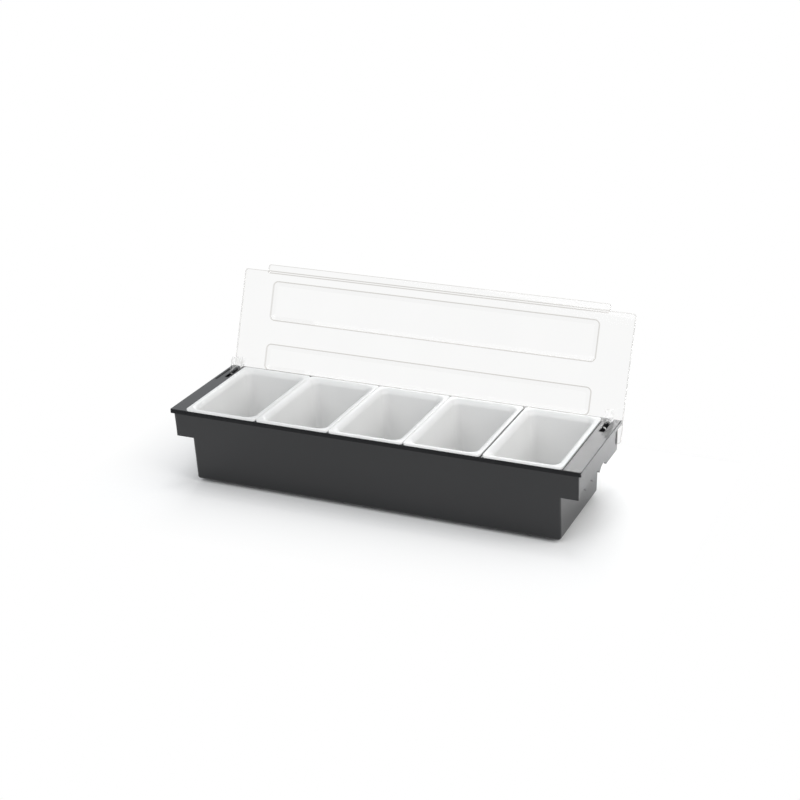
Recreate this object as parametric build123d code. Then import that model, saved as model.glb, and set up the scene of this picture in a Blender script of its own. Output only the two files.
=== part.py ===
from build123d import *
from math import acos, atan, atan2, cos, degrees, hypot
import os

# Condiment caddy: a long black tray with five lift-out pots under one clear hinged lid.
# Millimetres. +X along the row of pots, -Y towards the user, +Z up.
# The pieces are drawn with the tray centred on X and Y and its underside at Z 0.
# The last step moves them to the handed-in frame: centre of the whole footprint, feet on Z 0.

# Tray shell
TRAY_LENGTH = 500.0
TRAY_DEPTH = 153.0
TRAY_HEIGHT = 89.3
SHELL_WALL = 2.6
SHELL_FLOOR = 2.6
LONG_WALL_LEAN = 7.1
END_WALL_LEAN = 0.4
BODY_CORNER_ROUND = 4.0
BODY_BASE_ROUND = 3.0
WELL_BASE_ROUND = 1.2

# Rim, decks and hanging aprons at the two ends
RIM_HEIGHT = 5.2
RIM_OVERHANG_LONG = 2.0
RIM_OVERHANG_END = 3.2
RIM_CORNER_ROUND = 1.2
RIM_EDGE_ROUND = 0.8
RIM_REAR_ROUND = 3.0
DECK_THICKNESS = 2.5
GRIP_WIDTH = 20.8
APRON_DROP = 35.3
APRON_LEAN = 0.5
APRON_CORNER_ROUND = 1.0
SCALLOP_COUNT = 4
SCALLOP_PITCH = 24.6
SCALLOP_RISE = 6.5
MOUTH_EDGE_ROUND = 1.0
SHELF_COVER = 3.0

# Pots
POT_COUNT = 5
POT_GAP = 0.3
LAST_POT_GAP = 2.2
ROW_REACH_LEFT = 3.4
ROW_REACH_RIGHT = 2.7
POT_FRONT_INSET = 0.5
POT_REAR_SHELF = 7.5
POT_DEPTH = 68.5
POT_WALL = 1.6
POT_DRAFT = 0.06
POT_CORNER_ROUND = 9.0
POT_LIP_CORNER_ROUND = 4.0
POT_LIP_HEIGHT = 2.2
POT_LIP_FLAT = 2.0
POT_LIP_EDGE_ROUND = 0.5
POT_FLARE_ROUND = 6.5
POT_FLOOR_ROUND = 6.0

# Lid sheet, finger lip and raised panels
LID_SIDE_INSET = 0.5
LID_FRONT_INSET = 9.0
LID_THICKNESS = 2.4
LID_CORNER_ROUND = 4.0
LID_SEAT_GAP = 0.4
LID_SWING_GAP = 1.0
LID_TAIL_GAP = 0.5
LID_STEP_LENGTH = 3.0
LID_STEP_START = 8.0
LIP_END_INSET = 31.0
LIP_REACH = 8.0
LIP_RAISE = 1.5
LIP_CORNER_ROUND = 3.0
PANEL_END_INSET = 41.0
PANEL_SLOPE_RUN = 5.5
PANEL_RAISE = 1.0
PANEL_CORNER_ROUND = 6.0
FRONT_RAIL = 12.0
MIDDLE_RAIL = 29.5
REAR_RAIL = 2.9
LOWER_PANEL_DEPTH = 32.0

# Hinge: ears and studs moulded on the lid, holes in the aprons
HINGE_INSET = 11.6
HINGE_DROP = 8.8
HINGE_TAIL = 16.6
STUD_RADIUS = 2.4
STUD_RUNNING_FIT = 0.06
STUD_INSET = 0.4
STUD_NECK_WIDTH = 2.6
STUD_NECK_DROP = 17.5
BOSS_RADIUS = 5.0
HUB_RADIUS = 4.0
HUB_CLEARANCE = 0.4
EAR_INSET = 10.8
EAR_THICKNESS = 2.6
EAR_REACH = 31.0
EAR_TOP = 22.4
EAR_ROOT = 8.9
EAR_HEEL = 3.0
EAR_WAIST_A = 6.1
EAR_WAIST_W = 3.8
EAR_CORNER_ROUND = 2.0
EAR_SLOT_WIDTH = 6.0
EAR_SLOT_SWING_GAP = 1.0
PAD_LENGTH = 51.5
PAD_SINK = 0.8

# Feet
FOOT_RADIUS = 7.0
FOOT_HEIGHT = 4.0
FOOT_EDGE = 0.6
FOOT_INSET_X = 24.0
FOOT_INSET_Y = 17.0

# Levels and faces that follow from the sizes above
DECK_UNDERSIDE = TRAY_HEIGHT - DECK_THICKNESS
RIM_UNDERSIDE = TRAY_HEIGHT - RIM_HEIGHT
APRON_BASE = TRAY_HEIGHT - APRON_DROP
HALF_DEPTH_TOP = TRAY_DEPTH / 2 - RIM_OVERHANG_LONG
APRON_FACE = TRAY_LENGTH / 2 - RIM_OVERHANG_END
HALF_LENGTH_TOP = APRON_FACE - GRIP_WIDTH
FLARE_REACH = POT_LIP_FLAT + POT_FLARE_ROUND
BODY_OFFSET = FLARE_REACH - POT_WALL
UNDERFLARE_ROUND = POT_FLARE_ROUND - POT_WALL
LIP_TOP = TRAY_HEIGHT + POT_LIP_HEIGHT
ROW_LEFT = -HALF_LENGTH_TOP - ROW_REACH_LEFT
ROW_RIGHT = HALF_LENGTH_TOP + ROW_REACH_RIGHT
POT_WIDTH = (ROW_RIGHT - ROW_LEFT - (POT_COUNT - 2) * POT_GAP - LAST_POT_GAP) / POT_COUNT
POT_FRONT = -TRAY_DEPTH / 2 + POT_FRONT_INSET
POT_REAR = TRAY_DEPTH / 2 - POT_REAR_SHELF
POT_LIP_DEPTH = POT_REAR - POT_FRONT
SHELF_EDGE = POT_REAR - SHELF_COVER
POT_MIDDLE = (POT_REAR + POT_FRONT) / 2
POT_FLOOR_TOP = LIP_TOP - POT_DEPTH
POT_BASE = POT_FLOOR_TOP - POT_WALL

# Hinge line and lid levels, as distances from the hinge line
HINGE_Y = TRAY_DEPTH / 2 - HINGE_INSET
HINGE_Z = TRAY_HEIGHT - HINGE_DROP
SHEET_OFF = HINGE_DROP + POT_LIP_HEIGHT + LID_SEAT_GAP
RIM_CORNER_REACH = hypot(HINGE_INSET - RIM_REAR_ROUND, HINGE_DROP - RIM_REAR_ROUND) + RIM_REAR_ROUND
STRIP_OFF = RIM_CORNER_REACH + LID_SWING_GAP
SHEET_FRONT = LID_FRONT_INSET - TRAY_DEPTH / 2 - HINGE_Y
LID_LENGTH = TRAY_LENGTH - 2 * LID_SIDE_INSET
LID_DEPTH = HINGE_TAIL - SHEET_FRONT
LIP_LENGTH = LID_LENGTH - 2 * LIP_END_INSET
PANEL_LENGTH = LID_LENGTH - 2 * PANEL_END_INSET
LOWER_PANEL_REAR = -LID_STEP_START - REAR_RAIL
LOWER_PANEL_FRONT = LOWER_PANEL_REAR - LOWER_PANEL_DEPTH
UPPER_PANEL_REAR = LOWER_PANEL_FRONT - MIDDLE_RAIL
UPPER_PANEL_FRONT = SHEET_FRONT + FRONT_RAIL
EAR_OUTER = LID_LENGTH / 2 - EAR_INSET
EAR_INNER = EAR_OUTER - EAR_THICKNESS

# Overlap of cutting blocks past the faces they cut, and the search band for edges
MARGIN = 5.0
SNAP = 0.001


def half_depth(z):
    """Outer half depth of the tray's leaning long walls at height z."""
    return HALF_DEPTH_TOP - LONG_WALL_LEAN * (TRAY_HEIGHT - z) / TRAY_HEIGHT


def half_length(z):
    """Outer half length of the tray's end walls at height z."""
    return HALF_LENGTH_TOP - END_WALL_LEAN * (TRAY_HEIGHT - z) / TRAY_HEIGHT


def apron_face(z):
    """Distance of an apron's outer face from the middle at height z."""
    return APRON_FACE - APRON_LEAN * (TRAY_HEIGHT - z) / APRON_DROP


def slab(x0, x1, y0, y1, z0, z1):
    """Block between two opposite corners."""
    return Pos((x0 + x1) / 2, (y0 + y1) / 2, (z0 + z1) / 2) * Box(x1 - x0, y1 - y0, z1 - z0)


def rounded_block(length, depth, z0, z1, corner):
    """Upright block with rounded vertical corners, centred on X and Y."""
    return Pos(0, 0, z0) * extrude(RectangleRounded(length, depth, corner), z1 - z0)


def tapered(low, high, z0, z1, corner):
    """Block that grows from the low (length, depth) at z0 to the high one at z1."""
    base = Pos(0, 0, z0) * RectangleRounded(low[0], low[1], corner)
    top = Pos(0, 0, z1) * RectangleRounded(high[0], high[1], corner)
    return loft([base.face(), top.face()], ruled=True)


def shell_span(z, inset):
    """Length and depth of the tray body at height z, moved in by inset."""
    return (2 * (half_length(z) - inset), 2 * (half_depth(z) - inset))


def apron_span(z, inset):
    """Length and depth over the end aprons at height z, moved in by inset."""
    return (2 * (apron_face(z) - inset), 2 * (half_depth(z) - inset))


def edges_at(solid, z):
    """Edges of the solid that are centred at height z."""
    return solid.edges().filter_by_position(Axis.Z, z - SNAP, z + SNAP)


def tray_body():
    """Leaning outer walls of the tray, solid, with a rounded base edge."""
    body = tapered(shell_span(0, 0), shell_span(TRAY_HEIGHT, 0), 0, TRAY_HEIGHT, BODY_CORNER_ROUND)
    return fillet(edges_at(body, 0), BODY_BASE_ROUND)


def rim_plate():
    """Flat rim that overhangs the walls and the aprons, with its rear top edge well rounded."""
    plate = rounded_block(TRAY_LENGTH, TRAY_DEPTH, RIM_UNDERSIDE, TRAY_HEIGHT, RIM_CORNER_ROUND)
    plate = fillet(edges_at(plate, TRAY_HEIGHT), RIM_EDGE_ROUND)
    centre_y = TRAY_DEPTH / 2 - RIM_REAR_ROUND
    centre_z = TRAY_HEIGHT - RIM_REAR_ROUND
    cutter = slab(
        -TRAY_LENGTH,
        TRAY_LENGTH,
        centre_y,
        TRAY_DEPTH / 2 + MARGIN,
        centre_z,
        TRAY_HEIGHT + MARGIN,
    )
    roller = Pos(0, centre_y, centre_z) * Rot(0, 90, 0)
    cutter -= roller * Cylinder(RIM_REAR_ROUND, 2 * TRAY_LENGTH + MARGIN)
    return plate - cutter


def well():
    """Space inside the tray body, open at the top, with a shelf left along the rear rim."""
    top = TRAY_HEIGHT + MARGIN
    space = tapered(
        shell_span(SHELL_FLOOR, SHELL_WALL),
        shell_span(top, SHELL_WALL),
        SHELL_FLOOR,
        top,
        BODY_CORNER_ROUND - SHELL_WALL,
    )
    space = fillet(edges_at(space, SHELL_FLOOR), WELL_BASE_ROUND)
    return space - slab(-TRAY_LENGTH, TRAY_LENGTH, SHELF_EDGE, TRAY_DEPTH, DECK_UNDERSIDE, top + MARGIN)


def mouth_roll():
    """Cutter that rolls the two end edges of the mouth over, to clear the pots' flares."""
    centre_z = LIP_TOP - POT_FLARE_ROUND
    radius = TRAY_HEIGHT - centre_z
    centre_x = HALF_LENGTH_TOP - SHELL_WALL + radius
    front = -(HALF_DEPTH_TOP - SHELL_WALL)
    rear = SHELF_EDGE
    cutter = slab(centre_x - radius - MARGIN, centre_x, front, rear, centre_z, TRAY_HEIGHT + MARGIN)
    roller = Pos(centre_x, (front + rear) / 2, centre_z) * Rot(90, 0, 0)
    cutter -= roller * Cylinder(radius, rear - front + MARGIN)
    return cutter + mirror(cutter, about=Plane.YZ)


def grip_spaces(body):
    """Finger spaces between the end walls and the aprons, open below."""
    space = tapered(
        apron_span(APRON_BASE - MARGIN, SHELL_WALL),
        apron_span(DECK_UNDERSIDE, SHELL_WALL),
        APRON_BASE - MARGIN,
        DECK_UNDERSIDE,
        APRON_CORNER_ROUND / 2,
    )
    return space - body


def scallops():
    """Finger scallops cut up into the lower edge of both aprons, from the front."""
    half = SCALLOP_PITCH / 2
    radius = (half**2 + SCALLOP_RISE**2) / (2 * SCALLOP_RISE)
    first = -half_depth(APRON_BASE) + SHELL_WALL + half
    centre_z = APRON_BASE + SCALLOP_RISE - radius
    cutters = Part()
    for number in range(SCALLOP_COUNT):
        spot = Pos(0, first + number * SCALLOP_PITCH, centre_z) * Rot(0, 90, 0)
        cutters += spot * Cylinder(radius, 2 * TRAY_LENGTH)
    keep = slab(
        -half_length(TRAY_HEIGHT) - MARGIN,
        half_length(TRAY_HEIGHT) + MARGIN,
        -TRAY_DEPTH,
        TRAY_DEPTH,
        -TRAY_HEIGHT,
        TRAY_HEIGHT,
    )
    return cutters - keep


def ear_sweep():
    """Largest distance of the ear's far corner from the hinge line."""
    far = EAR_REACH - SHEET_OFF
    return hypot(EAR_TOP - EAR_CORNER_ROUND, far - EAR_CORNER_ROUND) + EAR_CORNER_ROUND


def ear_slot():
    """Slot through the right deck and the rear rim for one lid ear, with its shallow pad."""
    side_gap = (EAR_SLOT_WIDTH - EAR_THICKNESS) / 2
    outer = EAR_OUTER + side_gap
    front = HINGE_Y - ear_sweep() - EAR_SLOT_SWING_GAP
    above = TRAY_HEIGHT + MARGIN
    slot = slab(EAR_INNER - side_gap, outer, front, TRAY_DEPTH, RIM_UNDERSIDE, above)
    pad = slab(outer, APRON_FACE, TRAY_DEPTH / 2 - PAD_LENGTH, TRAY_DEPTH, TRAY_HEIGHT - PAD_SINK, above)
    return slot + pad


def stud_hole():
    """Running hole for one lid stud through the right apron, with its snap-in neck below."""
    apron_inside = APRON_FACE - SHELL_WALL - MARGIN
    middle = (apron_inside + TRAY_LENGTH / 2) / 2
    through = TRAY_LENGTH / 2 - apron_inside
    hole = Pos(middle, HINGE_Y, HINGE_Z) * Rot(0, 90, 0)
    hole = hole * Cylinder(STUD_RADIUS + STUD_RUNNING_FIT, through)
    neck = slab(
        apron_inside,
        TRAY_LENGTH / 2,
        HINGE_Y - STUD_NECK_WIDTH / 2,
        HINGE_Y + STUD_NECK_WIDTH / 2,
        HINGE_Z - STUD_NECK_DROP,
        HINGE_Z,
    )
    return hole + neck


def housing():
    """Tray with its rim, end decks, aprons, well and hinge cut-outs."""
    body = tray_body()
    aprons = tapered(
        apron_span(APRON_BASE, 0),
        apron_span(TRAY_HEIGHT, 0),
        APRON_BASE,
        TRAY_HEIGHT,
        APRON_CORNER_ROUND,
    )
    solid = body + aprons + rim_plate()
    solid -= grip_spaces(body)
    solid -= well()
    long_edges = edges_at(solid, TRAY_HEIGHT).filter_by(Axis.X)
    long_edges = long_edges.filter_by(lambda edge: -HALF_DEPTH_TOP < edge.center().Y <= SHELF_EDGE + SNAP)
    solid = fillet(long_edges, MOUTH_EDGE_ROUND)
    solid -= mouth_roll()
    solid -= scallops()
    right = ear_slot() + stud_hole()
    solid -= right
    solid -= mirror(right, about=Plane.YZ)
    return solid


def pot():
    """One lift-out pot, centred on X and Y, with a flared lip that rests on the rim."""
    lip_length = POT_WIDTH
    lip_depth = POT_LIP_DEPTH
    plate_base = LIP_TOP - POT_WALL
    base_inset = BODY_OFFSET + POT_DRAFT * (plate_base - POT_BASE)
    body = tapered(
        (lip_length - 2 * base_inset, lip_depth - 2 * base_inset),
        (lip_length - 2 * BODY_OFFSET, lip_depth - 2 * BODY_OFFSET),
        POT_BASE,
        plate_base,
        POT_CORNER_ROUND,
    )
    body = fillet(edges_at(body, POT_BASE), POT_FLOOR_ROUND + POT_WALL)
    plate = rounded_block(lip_length, lip_depth, plate_base, LIP_TOP, POT_LIP_CORNER_ROUND)
    solid = body + plate
    seam = solid.edges().filter_by_position(Axis.Z, plate_base, plate_base)
    seam = seam.filter_by(lambda edge: inside_lip(edge, BODY_OFFSET / 2))
    solid = fillet(seam, UNDERFLARE_ROUND)
    turn_down = rounded_block(lip_length, lip_depth, TRAY_HEIGHT, plate_base, POT_LIP_CORNER_ROUND)
    turn_down -= rounded_block(
        lip_length - 2 * POT_LIP_FLAT,
        lip_depth - 2 * POT_LIP_FLAT,
        TRAY_HEIGHT,
        plate_base,
        POT_LIP_CORNER_ROUND - POT_LIP_FLAT,
    )
    solid += turn_down
    outer_loop = solid.edges().filter_by_position(Axis.Z, LIP_TOP, LIP_TOP)
    solid = fillet(outer_loop, POT_LIP_EDGE_ROUND)
    solid -= pot_space()
    inner_loop = solid.edges().filter_by_position(Axis.Z, LIP_TOP, LIP_TOP)
    inner_loop = inner_loop.filter_by(lambda edge: inside_lip(edge, FLARE_REACH / 2))
    return fillet(inner_loop, POT_FLARE_ROUND)


def inside_lip(edge, inset):
    """True when the edge lies further in from the lip's outer faces than inset."""
    box = edge.bounding_box()
    within_x = max(abs(box.min.X), abs(box.max.X)) < POT_WIDTH / 2 - inset
    within_y = max(abs(box.min.Y), abs(box.max.Y)) < POT_LIP_DEPTH / 2 - inset
    return within_x and within_y


def pot_space():
    """Inside of a pot, drafted, with a well rounded floor edge."""
    inset = FLARE_REACH + POT_DRAFT * (LIP_TOP - POT_FLOOR_TOP)
    space = tapered(
        (POT_WIDTH - 2 * inset, POT_LIP_DEPTH - 2 * inset),
        (POT_WIDTH - 2 * FLARE_REACH, POT_LIP_DEPTH - 2 * FLARE_REACH),
        POT_FLOOR_TOP,
        LIP_TOP,
        POT_CORNER_ROUND - POT_WALL,
    )
    return fillet(edges_at(space, POT_FLOOR_TOP), POT_FLOOR_ROUND)


def pot_positions():
    """X of each pot's middle: equal steps, then a wider gap before the last one."""
    first = ROW_LEFT + POT_WIDTH / 2
    steps = [first + number * (POT_WIDTH + POT_GAP) for number in range(POT_COUNT)]
    steps[-1] += LAST_POT_GAP - POT_GAP
    return steps


def panel(front, rear, offset):
    """Raised panel between two distances from the hinge line, standing on the plane at offset."""
    depth = rear - front
    middle = (front + rear) / 2
    low = Pos(0, middle, offset) * RectangleRounded(PANEL_LENGTH, depth, PANEL_CORNER_ROUND)
    high = Pos(0, middle, offset + PANEL_RAISE) * RectangleRounded(
        PANEL_LENGTH - 2 * PANEL_SLOPE_RUN,
        depth - 2 * PANEL_SLOPE_RUN,
        PANEL_CORNER_ROUND - PANEL_SLOPE_RUN / 2,
    )
    return loft([low.face(), high.face()], ruled=True)


def lid_sheet():
    """Flat clear sheet with its rear strip stepped out to clear the rim; Y and Z from the hinge line."""
    step_end = LID_STEP_LENGTH - LID_STEP_START
    inner = [
        (SHEET_FRONT, SHEET_OFF),
        (-LID_STEP_START, SHEET_OFF),
        (step_end, STRIP_OFF),
        (HINGE_TAIL, STRIP_OFF),
    ]
    outer = [(y, z + LID_THICKNESS) for y, z in reversed(inner)]
    profile = make_face(Polyline(*inner, *outer, close=True))
    sheet = extrude(Plane.YZ * profile, LID_LENGTH / 2, both=True)
    outline = Pos(0, SHEET_FRONT + LID_DEPTH / 2, SHEET_OFF - MARGIN) * extrude(
        RectangleRounded(LID_LENGTH, LID_DEPTH, LID_CORNER_ROUND), STRIP_OFF + MARGIN
    )
    return sheet & outline


def finger_lip():
    """Thin lip standing forward of the lid's front edge, raised by less than its thickness."""
    depth = LIP_REACH + LID_THICKNESS
    middle = SHEET_FRONT + depth / 2 - LIP_REACH
    shape = Pos(0, middle, SHEET_OFF + LIP_RAISE) * RectangleRounded(LIP_LENGTH, depth, LIP_CORNER_ROUND)
    return extrude(shape, LID_THICKNESS, dir=(0, 0, 1))


def ear():
    """Right ear with its hub and stud; Y and Z from the hinge line."""
    far = SHEET_OFF - EAR_REACH
    outline = Polyline(
        (-EAR_TOP, SHEET_OFF + LID_THICKNESS / 2),
        (-EAR_TOP, far),
        (-EAR_HEEL, far),
        (BOSS_RADIUS, 0),
        (0, BOSS_RADIUS),
        (-EAR_WAIST_A, EAR_WAIST_W),
        (EAR_ROOT - EAR_TOP, SHEET_OFF),
        (EAR_ROOT - EAR_TOP, SHEET_OFF + LID_THICKNESS / 2),
        close=True,
    )
    plate = make_face(outline)
    far_corner = plate.vertices().sort_by(Axis.X)[:2].sort_by(Axis.Y)[0]
    plate = fillet(far_corner, EAR_CORNER_ROUND) + Circle(BOSS_RADIUS)
    root = Pos(EAR_INNER, 0, 0)
    solid = root * extrude(Plane.YZ * plate, EAR_THICKNESS)
    hub_end = apron_face(HINGE_Z) - SHELL_WALL - HUB_CLEARANCE
    hub = root * extrude(Plane.YZ * Circle(HUB_RADIUS), hub_end - EAR_INNER)
    stud_end = apron_face(HINGE_Z) - STUD_INSET
    stud = root * extrude(Plane.YZ * Circle(STUD_RADIUS), stud_end - EAR_INNER)
    return solid + hub + stud


def lid():
    """Closed lid, drawn from the hinge line: sheet, finger lip, panels and two ears."""
    solid = lid_sheet() + finger_lip()
    panels = ((UPPER_PANEL_FRONT, UPPER_PANEL_REAR), (LOWER_PANEL_FRONT, LOWER_PANEL_REAR))
    for front, rear in panels:
        solid += panel(front, rear, SHEET_OFF + LID_THICKNESS)
        solid -= panel(front, rear, SHEET_OFF)
    right = ear()
    return solid + right + mirror(right, about=Plane.YZ)


def lid_lean():
    """Lean of the open lid in degrees, where its tail comes up against the rear wall."""
    wall_lean = atan(LONG_WALL_LEAN / TRAY_HEIGHT)
    wall_distance = (half_depth(HINGE_Z) - HINGE_Y) * cos(wall_lean)
    tail_reach = hypot(HINGE_TAIL, STRIP_OFF)
    turn = acos((wall_distance + LID_TAIL_GAP) / tail_reach)
    return degrees(turn - atan2(HINGE_TAIL, STRIP_OFF) + wall_lean)


def foot():
    """Round foot with a softened lower edge, its top on Z 0."""
    disc = Pos(0, 0, -FOOT_HEIGHT / 2) * Cylinder(FOOT_RADIUS, FOOT_HEIGHT)
    return chamfer(edges_at(disc, -FOOT_HEIGHT), FOOT_EDGE)


tray = housing()
open_lid = Pos(0, HINGE_Y, HINGE_Z) * Rot(-(90 + lid_lean()), 0, 0) * lid()
one_pot = pot()
one_foot = foot()
nodes = {"housing": tray, "lid": open_lid}
for number, x in enumerate(pot_positions(), start=1):
    nodes[f"insert_{number}"] = Pos(x, POT_MIDDLE, 0) * one_pot
foot_x = half_length(0) - FOOT_INSET_X
foot_y = half_depth(0) - FOOT_INSET_Y
corners = [(-foot_x, -foot_y), (foot_x, -foot_y), (foot_x, foot_y), (-foot_x, foot_y)]
for number, (x, y) in enumerate(corners, start=1):
    nodes[f"foot_{number}"] = Pos(x, y, 0) * one_foot

rear_reach = open_lid.bounding_box().max.Y
to_frame = Pos(0, (TRAY_DEPTH / 2 - rear_reach) / 2, FOOT_HEIGHT)
os.makedirs("parts", exist_ok=True)
for name, solid in nodes.items():
    export_step(to_frame * solid, f"parts/{name}.step")
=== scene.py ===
import math

import bpy
from mathutils import Matrix, Vector


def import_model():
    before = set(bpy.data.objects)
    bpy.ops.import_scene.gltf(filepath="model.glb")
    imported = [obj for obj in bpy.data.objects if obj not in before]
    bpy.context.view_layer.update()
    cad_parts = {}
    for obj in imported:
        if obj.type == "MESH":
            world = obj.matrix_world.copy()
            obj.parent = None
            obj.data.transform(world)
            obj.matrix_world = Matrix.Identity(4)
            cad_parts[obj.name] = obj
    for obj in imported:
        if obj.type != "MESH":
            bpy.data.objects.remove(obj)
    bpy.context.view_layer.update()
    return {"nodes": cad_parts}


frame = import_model()


# ---------------------------------------------------------------- node helpers

# Sockets of the colour Mix node by number, because their names repeat for each data type.
MIX_FACTOR = 0
MIX_COLOURS = (6, 7)
MIX_RESULT = 2

# The span in which noise mostly lies.
NOISE_SPAN = (0.3, 0.7)


def cleared_tree(owner):
    """Node tree of a material or world, emptied."""
    owner.use_nodes = True
    owner.node_tree.nodes.clear()
    return owner.node_tree


def node_math(tree, operation, *values):
    """One math node on numbers or sockets."""
    node = tree.nodes.new("ShaderNodeMath")
    node.operation = operation
    for socket, value in zip(node.inputs, values):
        if isinstance(value, (int, float)):
            socket.default_value = value
        else:
            tree.links.new(value, socket)
    return node.outputs["Value"]


def ramp(tree, value, span, low, high):
    """Clamped linear change from low to high as value crosses the span."""
    node = tree.nodes.new("ShaderNodeMapRange")
    node.inputs["From Min"].default_value = span[0]
    node.inputs["From Max"].default_value = span[1]
    node.inputs["To Min"].default_value = low
    node.inputs["To Max"].default_value = high
    tree.links.new(value, node.inputs["Value"])
    return node.outputs["Result"]


def mix_colours(tree, factor, first, second):
    """Colour from first to second as factor goes from 0 to 1."""
    node = tree.nodes.new("ShaderNodeMix")
    node.data_type = "RGBA"
    for number, colour in zip(MIX_COLOURS, (first, second)):
        if isinstance(colour, tuple):
            node.inputs[number].default_value = (*colour, 1)
        else:
            tree.links.new(colour, node.inputs[number])
    tree.links.new(factor, node.inputs[MIX_FACTOR])
    return node.outputs[MIX_RESULT]


class Nodes:
    """Short way to build a node tree around one Principled surface."""

    def __init__(self, name):
        self.material = bpy.data.materials.new(name)
        self.tree = cleared_tree(self.material)
        out = self.tree.nodes.new("ShaderNodeOutputMaterial")
        self.surface = self.tree.nodes.new("ShaderNodeBsdfPrincipled")
        self.link(self.surface.outputs["BSDF"], out.inputs["Surface"])
        coordinates = self.tree.nodes.new("ShaderNodeTexCoord")
        self.place = coordinates.outputs["Object"]
        self.facing = coordinates.outputs["Normal"]

    def link(self, source, target):
        self.tree.links.new(source, target)

    def noise(self, scale, detail=2.0, roughness=0.5, stretch=(1, 1, 1)):
        mapping = self.tree.nodes.new("ShaderNodeMapping")
        mapping.inputs["Scale"].default_value = stretch
        self.link(self.place, mapping.inputs["Vector"])
        node = self.tree.nodes.new("ShaderNodeTexNoise")
        node.inputs["Scale"].default_value = scale
        node.inputs["Detail"].default_value = detail
        node.inputs["Roughness"].default_value = roughness
        self.link(mapping.outputs["Vector"], node.inputs["Vector"])
        return node.outputs["Fac"]

    def spread(self, value, low, high, span=NOISE_SPAN):
        return ramp(self.tree, value, span, low, high)

    def math(self, operation, *values):
        return node_math(self.tree, operation, *values)

    def mix(self, factor, first, second):
        return mix_colours(self.tree, factor, first, second)

    def dot(self, vector, direction):
        node = self.tree.nodes.new("ShaderNodeVectorMath")
        node.operation = "DOT_PRODUCT"
        node.inputs[1].default_value = direction
        self.link(vector, node.inputs[0])
        return node.outputs["Value"]

    def turned_from(self, direction):
        """Zero on faces square to the direction, one on faces that run along it."""
        square = self.math("ABSOLUTE", self.dot(self.facing, direction))
        return self.math("SUBTRACT", 1.0, square)

    def from_point(self, point):
        """Object coordinates counted from the point."""
        node = self.tree.nodes.new("ShaderNodeVectorMath")
        node.operation = "SUBTRACT"
        node.inputs[1].default_value = point
        self.link(self.place, node.inputs[0])
        return node.outputs["Vector"]

    def rounded_outline(self, x, y, centre_y, half_x, half_y, corner):
        """Distance from the outline of a rounded rectangle, which is centred on x at 0."""
        across = self.math("SUBTRACT", self.math("ABSOLUTE", x), half_x - corner)
        offset = self.math("ABSOLUTE", self.math("SUBTRACT", y, centre_y))
        along = self.math("SUBTRACT", offset, half_y - corner)
        squares = [
            self.math("POWER", self.math("MAXIMUM", value, 0.0), 2.0)
            for value in (across, along)
        ]
        outside = self.math("SQRT", self.math("ADD", *squares))
        inside = self.math("MINIMUM", self.math("MAXIMUM", across, along), 0.0)
        signed = self.math("SUBTRACT", self.math("ADD", outside, inside), corner)
        return self.math("ABSOLUTE", signed)

    def bump(self, height, strength, distance, before=None):
        node = self.tree.nodes.new("ShaderNodeBump")
        node.inputs["Strength"].default_value = strength
        node.inputs["Distance"].default_value = distance
        self.link(height, node.inputs["Height"])
        if before is not None:
            self.link(before, node.inputs["Normal"])
        return node.outputs["Normal"]

    def set(self, **values):
        for name, value in values.items():
            self.surface.inputs[name.replace("_", " ")].default_value = value

    def feed(self, socket, value):
        self.link(value, self.surface.inputs[socket])


# ---------------------------------------------------------------- materials

SKIN_SCALE = 1500

TRAY_COLOURS = ((0.0040, 0.0043, 0.0055), (0.0065, 0.0068, 0.0082))
POT_COLOURS = ((0.80, 0.80, 0.795), (0.83, 0.83, 0.825))
FOOT_COLOURS = ((0.016, 0.016, 0.016), (0.03, 0.03, 0.029))

LID_COLOURS = ((0.84, 0.84, 0.83), (0.87, 0.87, 0.86))
# Painted shade for the lid: darker colours on its sloped faces, along its creases and at its
# cut edges, in place of the light the clear sheet bends away there.
LID_SLOPE_SHADE_COLOUR = (0.80, 0.80, 0.79)
LID_CREASE_SHADE_COLOUR = (0.50, 0.48, 0.45)
LID_EDGE_SHADE_COLOUR = (0.44, 0.42, 0.39)

# Alpha of the plain sheet, and what creases and cut edges add to it.
LID_ALPHA = 0.38
LID_CREASE_ALPHA = 0.30
LID_EDGE_ALPHA = 0.50

# How far a face turns from the sheet where it begins and ends to take the painted edge shade
# or slope shade.
LID_EDGE_TURN = (0.10, 0.60)
LID_SLOPE_TURN = (0.002, 0.014)

# The open lid, in metres: hinge line, directions out of and along its sheet, and how far
# behind the hinge line the sheet begins, with a short run-in.
LID_LEAN = math.radians(20.1666)
HINGE_LINE = (0, 0.0393175, 0.0845)
LID_ACROSS = (1, 0, 0)
LID_NORMAL = (0, math.cos(LID_LEAN), -math.sin(LID_LEAN))
LID_ALONG = (0, -math.sin(LID_LEAN), -math.cos(LID_LEAN))
LID_SHEET_LEVEL = 0.0113
LID_SHEET_SPAN = (LID_SHEET_LEVEL - 0.0002, LID_SHEET_LEVEL)

# Outlines along which crease shade is painted on the sheet, in metres from the hinge line:
# span along the sheet, half length, corner round. They are the upper and lower panel, the
# sheet and the finger lip.
LID_OUTLINES = (
    ((-0.1204, -0.0724), 0.2085, 0.006),
    ((-0.0429, -0.0109), 0.2085, 0.006),
    ((-0.1324, 0.0166), 0.2495, 0.004),
    ((-0.1404, -0.1300), 0.2185, 0.003),
)
LID_OUTLINE_FADE = (0.0003, 0.0010)


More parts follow.
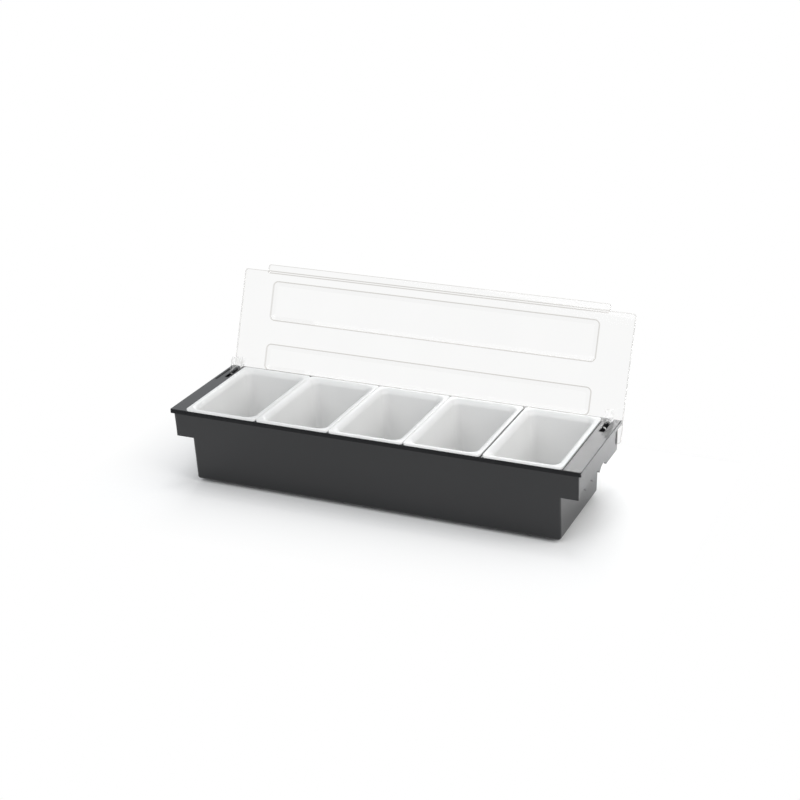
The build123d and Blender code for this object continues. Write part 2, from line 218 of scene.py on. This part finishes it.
def black_plastic():
    """Glossy black moulding with a very fine skin and faint flow variation."""
    n = Nodes("tray_black_plastic")
    skin = n.noise(SKIN_SCALE, detail=2.0, roughness=0.6)
    flow = n.noise(14, detail=3.0, roughness=0.5, stretch=(0.35, 1, 1))
    handling = n.noise(60, detail=4.0, roughness=0.6)
    waves = n.bump(flow, strength=0.03, distance=0.0003)
    n.feed("Base Color", n.mix(n.spread(flow, 0, 1), *TRAY_COLOURS))
    n.feed("Roughness", n.spread(handling, 0.15, 0.20))
    n.feed("Normal", n.bump(skin, strength=0.05, distance=0.00003, before=waves))
    n.set(IOR=1.53)
    return n.material


def white_plastic():
    """Satin white moulding with faint flow marks."""
    n = Nodes("pot_white_plastic")
    flow = n.noise(22, detail=3.0, roughness=0.5, stretch=(1, 1, 0.3))
    skin = n.noise(SKIN_SCALE, detail=2.0, roughness=0.5)
    n.feed("Base Color", n.mix(n.spread(flow, 0, 1), *POT_COLOURS))
    n.feed("Roughness", n.spread(flow, 0.30, 0.38))
    n.feed("Normal", n.bump(skin, strength=0.04, distance=0.00003))
    n.set(IOR=1.49)
    return n.material


def clear_plastic():
    """Clear polished sheet. Painted shade at its cut edges, on its sloped faces and along the
    creases round its panels stands in for the light the sheet bends there, and the edges and
    creases are also less transparent.
    """
    n = Nodes("lid_clear_plastic")
    haze = n.noise(16, detail=3.0, roughness=0.5)
    scuffs = n.noise(420, detail=3.0, roughness=0.6, stretch=(1, 0.15, 0.15))
    from_hinge = n.from_point(HINGE_LINE)
    x = n.dot(from_hinge, LID_ACROSS)
    along = n.dot(from_hinge, LID_ALONG)
    level = n.dot(from_hinge, LID_NORMAL)
    turned = n.turned_from(LID_NORMAL)

    on_sheet = n.spread(level, 0, 1, LID_SHEET_SPAN)
    # Masks for the painted shade: cut edges, sloped faces and, below, the creases along the
    # panel outlines.
    edge_shade = n.math("MULTIPLY", n.spread(turned, 0, 1, LID_EDGE_TURN), on_sheet)
    slope_shade = n.spread(turned, 0, 1, LID_SLOPE_TURN)
    crease_shade = 0.0
    for (low, high), half_length, corner in LID_OUTLINES:
        middle = (low + high) / 2
        outline = n.rounded_outline(x, along, middle, half_length, (high - low) / 2, corner)
        crease_shade = n.math("MAXIMUM", crease_shade, n.spread(outline, 1, 0, LID_OUTLINE_FADE))
    crease_shade = n.math("MULTIPLY", crease_shade, on_sheet)

    body = n.mix(n.spread(haze, 0, 1), *LID_COLOURS)
    # Painted shade laid over the sheet's own colour on slopes, creases and cut edges.
    slope_shaded = n.mix(slope_shade, body, LID_SLOPE_SHADE_COLOUR)
    crease_shaded = n.mix(crease_shade, slope_shaded, LID_CREASE_SHADE_COLOUR)
    n.feed("Base Color", n.mix(edge_shade, crease_shaded, LID_EDGE_SHADE_COLOUR))
    crease_alpha = n.math("MULTIPLY", crease_shade, LID_CREASE_ALPHA)
    edge_alpha = n.math("MULTIPLY", edge_shade, LID_EDGE_ALPHA)
    dense = n.math("MAXIMUM", crease_alpha, edge_alpha)
    n.feed("Alpha", n.math("ADD", dense, LID_ALPHA))
    n.feed("Roughness", n.spread(scuffs, 0.0, 0.03))
    n.feed("Normal", n.bump(haze, strength=0.03, distance=0.0003))
    n.set(IOR=1.49, Transmission_Weight=1.0)
    return n.material


def foot_rubber():
    """Matte black rubber with a fine pebbled skin."""
    n = Nodes("foot_black_rubber")
    pebbles = n.noise(SKIN_SCALE, detail=3.0, roughness=0.6)
    dust = n.noise(140, detail=4.0, roughness=0.6)
    n.feed("Base Color", n.mix(n.spread(dust, 0, 1), *FOOT_COLOURS))
    n.feed("Roughness", n.spread(dust, 0.7, 0.85))
    n.feed("Normal", n.bump(pebbles, strength=0.3, distance=0.0001))
    return n.material


# One finish for each kind of piece, by the first word of its node's name.
finishes = {
    "housing": black_plastic(),
    "lid": clear_plastic(),
    "insert": white_plastic(),
    "foot": foot_rubber(),
}
for name, node in frame["nodes"].items():
    kind = name.split("_")[0]
    for slot in node.material_slots:
        slot.material = finishes[kind]

# ---------------------------------------------------------------- stage

# Rectangle under the tray's body from which distances on the floor are counted, in metres.
TRAY_HALF = (0.226, 0.068)
TRAY_MIDDLE_Y = -0.0256

# Seen directly, in gloss and through clear parts, the floor has a painted glow a little
# outside the tray and none at the tray's edge; seen directly or through clear parts it is
# plain white further out.
FLOOR_SIZE = 60
FLOOR_COLOUR = (0.93, 0.93, 0.93, 1)
FLOOR_LIFT = 0.12
FLOOR_LIFT_SPAN = (0.004, 0.035)
FLOOR_WHITE_SPAN = (0.03, 0.14)

# The world lights the object at the fill level. Gloss sees full strength near the horizon
# and less overhead, by the height of the ray's direction, but never less than the fill.
FILL_LEVEL = 0.56
FILL_TINT = (0.95, 0.975, 1.0)
WHITE = (1, 1, 1)
HORIZON_LEVEL = 1.0
OVERHEAD_LEVEL = 0.25
OVERHEAD_SPAN = (0.35, 0.70)

FLAG_PLACE = (0, -0.95, 0.001)
FLAG_SCALE = (3.0, 1.36, 1)
FLAG_COLOUR = (0.01, 0.01, 0.01, 1)

KEY_TINT = (1, 0.985, 0.96)
FULL_SPREAD = 180

# Name, place, aim, width and height, watts, colour, spread in degrees.
LAMPS = (
    ("key_right", (1.7, -0.3, 1.2), (0, 0, 0.05), (1.4, 1.2), 16, KEY_TINT, FULL_SPREAD),
    ("front", (-0.4, -1.8, 1.5), (0, 0, 0.05), (1.6, 1.2), 12, WHITE, FULL_SPREAD),
    ("top", (-0.3, 0.2, 2.0), (0, 0, 0), (1.6, 1.2), 3, WHITE, FULL_SPREAD),
    ("rear_left", (-0.65, 2.1, 1.05), (0.1, 0, 0.1), (0.9, 0.8), 13, WHITE, FULL_SPREAD),
    ("rear_floor", (0.66, 0.42, 0.95), (0.60, 0.40, 0), (0.4, 0.4), 3.2, WHITE, 45),
)


def rays(tree, *names):
    """One for the named kinds of ray, else zero."""
    path = tree.nodes.new("ShaderNodeLightPath")
    total = path.outputs[names[0]]
    for name in names[1:]:
        total = node_math(tree, "MAXIMUM", total, path.outputs[name])
    return total


def outside_tray(tree):
    """Distance on the floor outside the rectangle under the tray."""
    place = tree.nodes.new("ShaderNodeNewGeometry").outputs["Position"]
    split = tree.nodes.new("ShaderNodeSeparateXYZ")
    tree.links.new(place, split.inputs["Vector"])
    from_middle_x = node_math(tree, "ABSOLUTE", split.outputs["X"])
    across = node_math(tree, "SUBTRACT", from_middle_x, TRAY_HALF[0])
    middle = node_math(tree, "SUBTRACT", split.outputs["Y"], TRAY_MIDDLE_Y)
    along = node_math(tree, "SUBTRACT", node_math(tree, "ABSOLUTE", middle), TRAY_HALF[1])
    return node_math(tree, "MAXIMUM", across, along)


def floor():
    """White floor that keeps the object's shadow and meets the white background unseen."""
    bpy.ops.mesh.primitive_plane_add(size=FLOOR_SIZE, location=(0, 0, 0))
    plane = bpy.context.object
    plane.name = "stage_floor"
    material = bpy.data.materials.new("stage_floor")
    tree = cleared_tree(material)
    out = tree.nodes.new("ShaderNodeOutputMaterial")
    diffuse = tree.nodes.new("ShaderNodeBsdfDiffuse")
    diffuse.inputs["Color"].default_value = FLOOR_COLOUR
    glow = tree.nodes.new("ShaderNodeEmission")
    add = tree.nodes.new("ShaderNodeAddShader")
    white = tree.nodes.new("ShaderNodeEmission")
    blend = tree.nodes.new("ShaderNodeMixShader")
    away = outside_tray(tree)
    seen = rays(tree, "Is Camera Ray", "Is Glossy Ray", "Is Transmission Ray")
    lift = ramp(tree, away, FLOOR_LIFT_SPAN, 0.0, FLOOR_LIFT)
    tree.links.new(node_math(tree, "MULTIPLY", seen, lift), glow.inputs["Strength"])
    background = rays(tree, "Is Camera Ray", "Is Transmission Ray")
    far = ramp(tree, away, FLOOR_WHITE_SPAN, 0, 1)
    tree.links.new(node_math(tree, "MULTIPLY", background, far), blend.inputs[0])
    tree.links.new(diffuse.outputs["BSDF"], add.inputs[0])
    tree.links.new(glow.outputs["Emission"], add.inputs[1])
    tree.links.new(add.outputs["Shader"], blend.inputs[1])
    tree.links.new(white.outputs["Emission"], blend.inputs[2])
    tree.links.new(blend.outputs["Shader"], out.inputs["Surface"])
    plane.data.materials.append(material)


def world():
    """White behind the object, darker overhead in gloss, a soft cool fill for the rest."""
    sky = bpy.data.worlds.new("studio")
    bpy.context.scene.world = sky
    tree = cleared_tree(sky)
    out = tree.nodes.new("ShaderNodeOutputWorld")
    back = tree.nodes.new("ShaderNodeBackground")
    direction = tree.nodes.new("ShaderNodeTexCoord").outputs["Generated"]
    split = tree.nodes.new("ShaderNodeSeparateXYZ")
    tree.links.new(direction, split.inputs["Vector"])
    overhead = ramp(tree, split.outputs["Z"], OVERHEAD_SPAN, HORIZON_LEVEL, OVERHEAD_LEVEL)
    reflected = node_math(tree, "MULTIPLY", rays(tree, "Is Glossy Ray"), overhead)
    behind = rays(tree, "Is Camera Ray", "Is Transmission Ray")
    bright = node_math(tree, "MAXIMUM", reflected, behind)
    level = node_math(tree, "MAXIMUM", bright, FILL_LEVEL)
    tree.links.new(mix_colours(tree, behind, FILL_TINT, WHITE), back.inputs["Color"])
    tree.links.new(level, back.inputs["Strength"])
    tree.links.new(back.outputs["Background"], out.inputs["Surface"])


def front_flag():
    """Black card lying in front of the tray, seen only in its gloss."""
    bpy.ops.mesh.primitive_plane_add(size=1, location=FLAG_PLACE)
    card = bpy.context.object
    card.name = "stage_flag"
    card.scale = FLAG_SCALE
    material = bpy.data.materials.new("stage_flag")
    material.use_nodes = True
    surface = material.node_tree.nodes["Principled BSDF"]
    surface.inputs["Base Color"].default_value = FLAG_COLOUR
    card.data.materials.append(material)
    card.visible_camera = False
    card.visible_diffuse = False
    card.visible_transmission = False
    card.visible_shadow = False


def softbox(name, place, aim, size, power, colour, spread):
    """Rectangular lamp at place, turned to aim."""
    data = bpy.data.lights.new(name, "AREA")
    data.shape = "RECTANGLE"
    data.size, data.size_y = size
    data.energy = power
    data.color = colour
    data.spread = math.radians(spread)
    lamp = bpy.data.objects.new(name, data)
    bpy.context.collection.objects.link(lamp)
    lamp.location = place
    lamp.rotation_mode = "QUATERNION"
    lamp.rotation_quaternion = (Vector(aim) - Vector(place)).to_track_quat("-Z", "Y")


floor()
world()
front_flag()
for lamp_values in LAMPS:
    softbox(*lamp_values)

# ---------------------------------------------------------------- camera

# Solved from the tray's corners in the photograph: degrees, metres and pixels.
AZIMUTH = 23.918
ELEVATION = 22.484
ROLL = -1.327
DISTANCE = 1.87987
TARGET = Vector((0.009612, -0.025582, 0.112142))
FOCAL_PIXELS = 1647.064
FRAME_PIXELS = 800

SENSOR_WIDTH = 36
CLIP_START = 0.05
CLIP_END = 100


def camera():
    """Camera solved from the photograph."""
    azimuth, elevation, roll = (math.radians(v) for v in (AZIMUTH, ELEVATION, ROLL))
    back = Vector(
        (
            math.sin(azimuth) * math.cos(elevation),
            -math.cos(azimuth) * math.cos(elevation),
            math.sin(elevation),
        )
    )
    level_right = (-back).cross(Vector((0, 0, 1))).normalized()
    level_up = level_right.cross(-back)
    right = level_right * math.cos(roll) + level_up * math.sin(roll)
    up = -level_right * math.sin(roll) + level_up * math.cos(roll)
    data = bpy.data.cameras.new("camera")
    data.sensor_width = SENSOR_WIDTH
    data.lens = SENSOR_WIDTH * FOCAL_PIXELS / FRAME_PIXELS
    data.clip_start = CLIP_START
    data.clip_end = CLIP_END
    cam = bpy.data.objects.new("camera", data)
    bpy.context.collection.objects.link(cam)
    cam.matrix_world = Matrix(
        (
            (right.x, up.x, back.x, 0),
            (right.y, up.y, back.y, 0),
            (right.z, up.z, back.z, 0),
            (0, 0, 0, 1),
        )
    )
    cam.location = TARGET + back * DISTANCE
    bpy.context.scene.camera = cam


camera()
bpy.context.scene.view_settings.view_transform = "Standard"
